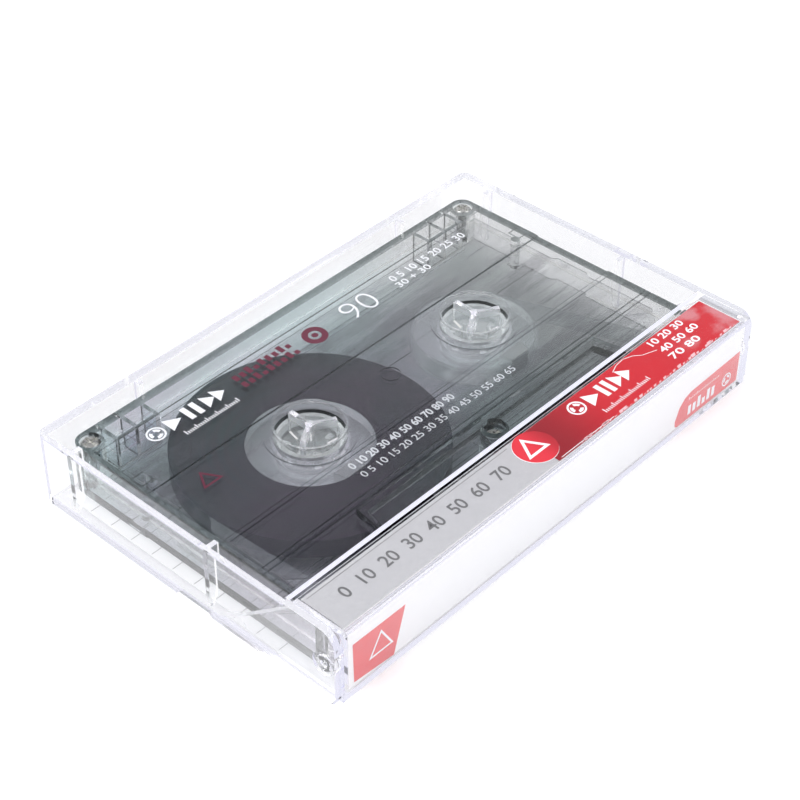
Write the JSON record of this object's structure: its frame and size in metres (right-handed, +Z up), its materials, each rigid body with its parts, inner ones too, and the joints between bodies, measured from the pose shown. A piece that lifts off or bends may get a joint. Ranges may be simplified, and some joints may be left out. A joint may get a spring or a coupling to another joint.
{
  "type": "audio cassette tape in a hinged case",
  "caption": "Compact audio cassette with a smoke-clear shell, wound tape and working spools, lying in a clear hinged storage case with a folded inlay card.",
  "frame": {"origin": "centre of the shut case's base, on the surface it lies on", "axes": "+X along the case's length, -Y towards the card's spine and the hinge, +Z up out of the case's large face"},
  "size_m": [0.109, 0.07, 0.0152],
  "materials": {
    "case_clear": "clear polystyrene, moulded, polished",
    "card": "printed card, white inside, silver and red outside",
    "shell_smoke": "smoke-grey transparent polystyrene",
    "screw_steel": "plated steel",
    "hub_clear": "translucent acetal",
    "clamp_plastic": "translucent acetal",
    "tape_brown": "coated polyester tape",
    "leader_film": "clear polyester leader",
    "roller_plastic": "white acetal",
    "pin_steel": "ground steel",
    "felt": "wool felt",
    "spring_bronze": "phosphor bronze strip",
    "shield_steel": "soft magnetic steel",
    "slip_film": "graphite-dusted clear film"
  },
  "bodies": {
    "root": {"case_pocket": "case_clear", "inlay_card": "card", "shell_upper": "shell_smoke", "shell_lower": "shell_smoke", "shell_screws": "screw_steel", "tape_run": "leader_film", "roller_pin_left": "pin_steel", "roller_pin_right": "pin_steel", "shield_plate": "shield_steel", "slip_sheet_upper": "slip_film", "slip_sheet_lower": "slip_film"},
    "tray": {"case_tray": "case_clear"},
    "left_spool": {"hub_left": "hub_clear", "hub_clamp_left": "clamp_plastic", "tape_pack_left": "tape_brown"},
    "right_spool": {"hub_right": "hub_clear", "hub_clamp_right": "clamp_plastic", "tape_pack_right": "leader_film"},
    "left_roller": {"roller_left": "roller_plastic"},
    "right_roller": {"roller_right": "roller_plastic"},
    "pressure_pad": {"felt_pad": "felt", "pad_spring": "spring_bronze"}
  },
  "joints": [
    {"name": "case_hinge", "type": "hinge", "parent": "root", "child": "tray", "pos_m": [0, -0.0319, 0.0079], "axis": [1, 0, 0], "range_deg": [0, 110]},
    {"name": "left_spool_spin", "type": "hinge", "parent": "root", "child": "left_spool", "pos_m": [-0.02125, 0.0034, 0.00745], "axis": [0, 0, 1], "continuous": true},
    {"name": "right_spool_spin", "type": "hinge", "parent": "root", "child": "right_spool", "pos_m": [0.02125, 0.0034, 0.00745], "axis": [0, 0, 1], "continuous": true},
    {"name": "left_roller_spin", "type": "hinge", "parent": "root", "child": "left_roller", "pos_m": [-0.041, -0.02692, 0.00745], "axis": [0, 0, 1], "continuous": true},
    {"name": "right_roller_spin", "type": "hinge", "parent": "root", "child": "right_roller", "pos_m": [0.041, -0.02692, 0.00745], "axis": [0, 0, 1], "continuous": true},
    {"name": "pad_press", "type": "slide", "parent": "root", "child": "pressure_pad", "axis": [0, 1, 0], "range_m": [0, 0.0007], "stiffness_N_per_m": 100, "springref_m": -0.002}
  ],
  "couplings": [
    {"joint": "right_spool_spin", "follows": "left_spool_spin", "ratio": 2.0596},
    {"joint": "left_roller_spin", "follows": "left_spool_spin", "ratio": 8.0667},
    {"joint": "right_roller_spin", "follows": "left_spool_spin", "ratio": 8.0667}
  ]
}
